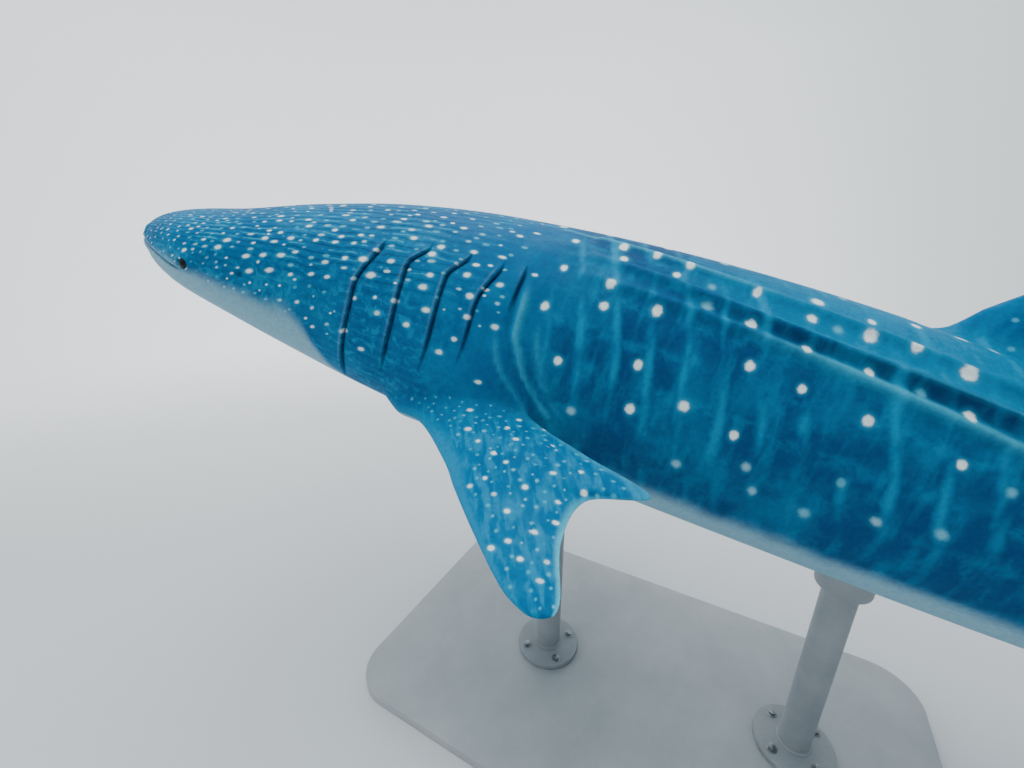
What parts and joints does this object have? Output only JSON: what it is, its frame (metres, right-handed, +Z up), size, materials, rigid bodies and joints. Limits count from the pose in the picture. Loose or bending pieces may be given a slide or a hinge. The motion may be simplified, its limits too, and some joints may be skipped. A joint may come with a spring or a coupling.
{
  "type": "whale shark",
  "caption": "Whale shark at life size in a swimming pose, its head turned aside: a still display model held above a flat base by short rods.",
  "frame": {"origin": "middle of the underside of the stand's base, on the floor", "axes": "+Z up, -X towards the head, +X towards the tail, -Y on the side of the animal's left flank"},
  "size_m": [6.9638, 2.2093, 2.4653],
  "materials": {
    "skin": "satin, slate blue with pale spots, bars and belly",
    "eye": "gloss",
    "stand": "satin powder coat"
  },
  "bodies": {
    "root": {"head": "skin", "gill_region": "skin", "trunk_front": "skin", "trunk_rear": "skin", "tail_stock": "skin", "caudal_upper_lobe": "skin", "caudal_lower_lobe": "skin", "first_dorsal_fin": "skin", "second_dorsal_fin": "skin", "anal_fin": "skin", "pectoral_fin_left": "skin", "pectoral_fin_right": "skin", "pelvic_fin_left": "skin", "pelvic_fin_right": "skin", "eye_left": "eye", "eye_right": "eye", "stand_base": "stand", "stand_foot_front": "stand", "stand_rod_front": "stand", "stand_collar_front": "stand", "stand_foot_rear": "stand", "stand_rod_rear": "stand", "stand_collar_rear": "stand"}
  },
  "joints": []
}
